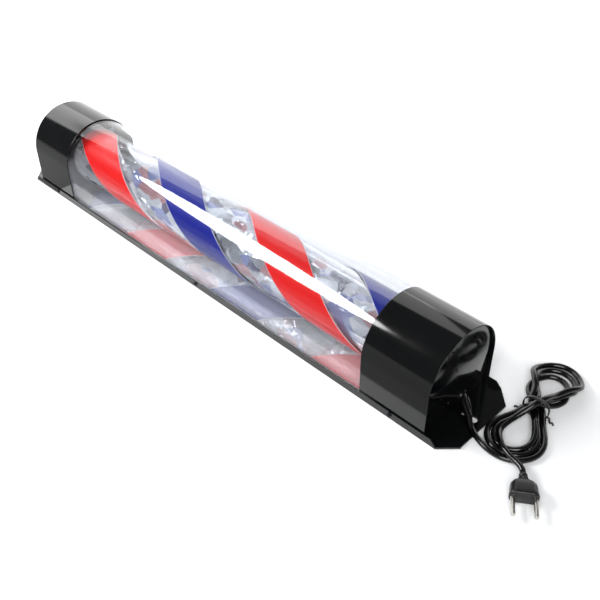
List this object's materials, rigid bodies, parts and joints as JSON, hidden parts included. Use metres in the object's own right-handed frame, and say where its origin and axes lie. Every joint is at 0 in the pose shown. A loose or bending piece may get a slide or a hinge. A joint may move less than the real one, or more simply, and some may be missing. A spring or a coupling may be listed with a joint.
{
  "type": "barber pole light",
  "caption": "Wall-mounted rotating barber pole light: striped drum under a D-shaped clear cover with black end sleeves on a flat tray, with a mains cord.",
  "frame": {"origin": "Centre of the back face of the base tray, which is the lowest face with the pole lying on its back. The cord and what is on it don't count.", "axes": "+X runs along the pole towards the motor and cord end, +Z points out of the wall through the top of the cover, +Y completes a right-handed frame."},
  "size_m": [0.7927, 0.1906, 0.0974],
  "materials": {
    "black_abs": "glossy black vacuum-formed ABS",
    "clear_pvc": "clear bent PVC sheet",
    "mirror_sheet": "mirror-faced plastic sheet",
    "white_foam": "double-sided foam strip",
    "black_screw": "black oxide steel",
    "zinc_screw": "zinc-plated steel",
    "zinc_sheet": "zinc-plated sheet",
    "motor_case": "drawn steel can",
    "ground_steel": "ground bar",
    "white_nylon": "moulded nylon",
    "white_abs": "moulded ABS",
    "frosted_pc": "frosted polycarbonate tube",
    "lamp_cap_metal": "turned aluminium",
    "white_board": "white-masked circuit board",
    "phosphor": "light chips",
    "wire_pvc": "thin red wire",
    "white_wire": "flat twin wire",
    "terminal_brass": "brass screw",
    "clear_film": "clear rolled film",
    "crinkle_film": "crinkled silvery film",
    "red_vinyl": "glossy red vinyl",
    "blue_vinyl": "glossy blue vinyl",
    "cord_pvc": "extruded PVC sheath",
    "tie_pvc": "coated twist tie",
    "plug_pvc": "moulded PVC plug",
    "nickel_pin": "nickel-plated brass pin"
  },
  "bodies": {
    "housing": {"base_tray": "black_abs", "floor_mirror": "mirror_sheet", "mirror_pads": "white_foam", "clear_cover": "clear_pvc", "motor_end_sleeve": "black_abs", "idler_end_sleeve": "black_abs", "motor_end_plug": "black_abs", "idler_end_plug": "black_abs", "side_screws": "black_screw", "motor_bracket": "zinc_sheet", "gear_motor": "motor_case", "motor_screws": "zinc_screw", "motor_nuts": "zinc_screw", "bracket_screws": "zinc_screw", "idler_bracket": "zinc_sheet", "idler_stub": "white_nylon", "stub_screws": "zinc_screw", "lamp_holder": "white_nylon", "lamp_tube": "frosted_pc", "lamp_cap": "lamp_cap_metal", "lamp_board": "white_board", "lamp_chips": "phosphor", "lamp_driver": "white_abs", "lamp_leads": "wire_pvc", "feed_lead": "white_wire", "terminal_block": "white_nylon", "terminal_screws": "terminal_brass", "motor_leads": "wire_pvc", "cord_inner_end": "cord_pvc", "strain_relief": "cord_pvc", "power_cord_lead": "cord_pvc", "cord_hank": "cord_pvc", "cord_tie": "tie_pvc", "cord_tail": "cord_pvc", "plug_body": "plug_pvc", "plug_pins": "nickel_pin"},
    "drum": {"drum_film": "clear_film", "crinkle_liner": "crinkle_film", "red_stripe": "red_vinyl", "blue_stripe": "blue_vinyl", "motor_end_disc": "white_abs", "idler_end_disc": "white_abs", "drive_hub": "white_nylon", "hub_grub_screw": "black_screw", "hub_screws": "zinc_screw", "motor_shaft": "ground_steel", "idler_bush": "white_nylon"}
  },
  "joints": [
    {"name": "drum_spin", "type": "hinge", "parent": "housing", "child": "drum", "pos_m": [0, 0, 0.0474], "axis": [1, 0, 0], "continuous": true}
  ]
}
